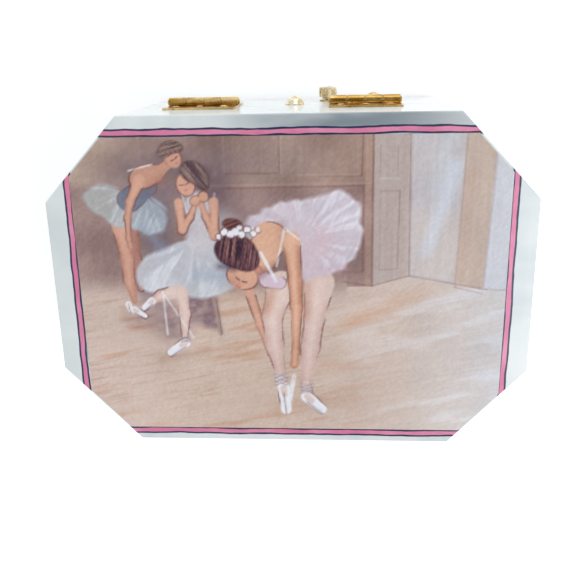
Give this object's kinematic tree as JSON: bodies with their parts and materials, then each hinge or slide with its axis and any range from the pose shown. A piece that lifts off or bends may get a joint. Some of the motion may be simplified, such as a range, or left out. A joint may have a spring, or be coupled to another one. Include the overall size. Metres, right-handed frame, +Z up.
{
  "type": "musical jewellery box",
  "caption": "Octagonal wooden jewellery box with a hinged printed lid, padded compartments, a wind-up musical movement and a dancer that turns on a spindle.",
  "frame": {"origin": "centre of the felt base, on the surface that the box stands on", "axes": "+Z up through the lid, +Y towards the hinges and winding knob, +X along the long side, to the right when the box is seen from above with its hinges at the far side"},
  "size_m": [0.25, 0.1899, 0.1183],
  "materials": {
    "base_felt": "grey felt",
    "plain_wood": "bare board",
    "pearl_paint": "boards painted in glossy pearl white",
    "pink_satin": "card and thin board covered in pink satin",
    "rose_velvet": "thin board and foam covered in rose velvet",
    "printed_paper": "printed sheet under clear lacquer",
    "brass": "polished and lacquered brass",
    "steel": "bright steel",
    "cast_zinc": "cast zinc alloy",
    "white_nylon": "white nylon",
    "mirror_glass": "silvered glass",
    "dancer_plastic": "painted plastic",
    "tulle": "pale tulle"
  },
  "bodies": {
    "case": {"base_felt": "base_felt", "body_bottom": "plain_wood", "body_front_wall": "pearl_paint", "body_back_wall": "pearl_paint", "body_side_walls": "pearl_paint", "body_corner_walls": "pearl_paint", "body_lining": "pink_satin", "floor_lining": "pink_satin", "music_compartment": "pink_satin", "stage_deck": "rose_velvet", "compartment_dividers": "pink_satin", "ring_cushion_base": "rose_velvet", "ring_rolls": "rose_velvet", "left_hinge_body_leaf": "brass", "right_hinge_body_leaf": "brass", "hinge_pins": "brass", "hinge_body_screws": "brass", "guide_screw": "brass", "plate_screw": "brass", "arbor_bush": "brass", "stop_wire_guide": "brass", "hook_screw": "brass", "stay_body_bracket": "brass", "bedplate": "brass", "bedplate_brackets": "brass", "governor_cock": "brass", "comb_base": "cast_zinc", "comb": "steel", "movement_screws": "steel", "spindle_bush": "brass"},
    "lid": {"lid_top": "pearl_paint", "lid_print": "printed_paper", "lid_front_wall": "pearl_paint", "lid_back_wall": "pearl_paint", "lid_side_walls": "pearl_paint", "lid_corner_walls": "pearl_paint", "lid_lining": "pink_satin", "lid_pad": "pink_satin", "mirror": "mirror_glass", "left_hinge_lid_leaf": "brass", "right_hinge_lid_leaf": "brass", "hinge_lid_screws": "brass", "hook_stud": "brass", "stay_lid_bracket": "brass"},
    "winding_key": {"winding_knob": "brass", "winding_arbor": "steel"},
    "barrel": {"spring_barrel": "brass", "mainspring": "steel"},
    "cylinder": {"music_cylinder": "brass", "cylinder_wheels": "brass"},
    "governor": {"governor_wheel": "brass"},
    "fly": {"governor_fly": "white_nylon"},
    "dancer": {"dancer_spindle": "steel", "turntable": "rose_velvet", "dancer": "dancer_plastic", "dancer_skirt": "tulle"},
    "stop_wire": {"stop_lever": "steel"},
    "stay_lower": {"stay_lower_bar": "brass"},
    "stay_upper": {"stay_upper_bar": "brass"},
    "hook": {"latch_hook": "brass"}
  },
  "joints": [
    {"name": "lid_hinge", "type": "hinge", "parent": "case", "child": "lid", "pos_m": [0, 0.0917, 0.06515], "axis": [-1, 0, 0], "range_deg": [0, 100]},
    {"name": "key_turn", "type": "hinge", "parent": "case", "child": "winding_key", "pos_m": [0.0195, 0.09, 0.03], "axis": [0, 1, 0], "continuous": true},
    {"name": "barrel_turn", "type": "hinge", "parent": "case", "child": "barrel", "pos_m": [0.0195, 0.06, 0.03], "axis": [0, 1, 0], "continuous": true},
    {"name": "cylinder_turn", "type": "hinge", "parent": "case", "child": "cylinder", "pos_m": [0, 0.04, 0.03], "axis": [0, 1, 0], "continuous": true},
    {"name": "governor_turn", "type": "hinge", "parent": "case", "child": "governor", "pos_m": [-0.0156, 0.065, 0.03], "axis": [0, 1, 0], "continuous": true},
    {"name": "fly_turn", "type": "hinge", "parent": "case", "child": "fly", "pos_m": [-0.02385, 0.06325, 0.03], "axis": [0, 0, 1], "continuous": true},
    {"name": "dancer_turn", "type": "hinge", "parent": "case", "child": "dancer", "pos_m": [0, 0.0445, 0.048], "axis": [0, 0, 1], "continuous": true},
    {"name": "stop_wire_lean", "type": "hinge", "parent": "case", "child": "stop_wire", "pos_m": [-0.02385, 0.076, 0.013], "axis": [-1, 0, 0], "range_deg": [0, 4]},
    {"name": "stay_lower_pivot", "type": "hinge", "parent": "case", "child": "stay_lower", "pos_m": [0.1137, 0.036, 0.05915], "axis": [-1, 0, 0], "range_deg": [0, 100]},
    {"name": "stay_upper_pivot", "type": "hinge", "parent": "lid", "child": "stay_upper", "pos_m": [0.1121, 0.036, 0.07115], "axis": [-1, 0, 0], "range_deg": [-100, 0]},
    {"name": "hook_swing", "type": "hinge", "parent": "case", "child": "hook", "pos_m": [0, -0.09, 0.052], "axis": [0, 1, 0], "range_deg": [-45, 180]}
  ],
  "couplings": [
    {"joint": "cylinder_turn", "follows": "barrel_turn", "ratio": -4},
    {"joint": "governor_turn", "follows": "barrel_turn", "ratio": 12},
    {"joint": "fly_turn", "follows": "barrel_turn", "ratio": -240},
    {"joint": "dancer_turn", "follows": "barrel_turn", "ratio": 6},
    {"joint": "stop_wire_lean", "follows": "lid_hinge", "ratio": 0.04},
    {"joint": "stay_lower_pivot", "follows": "lid_hinge", "ratio": 1},
    {"joint": "stay_upper_pivot", "follows": "lid_hinge", "ratio": -1}
  ]
}
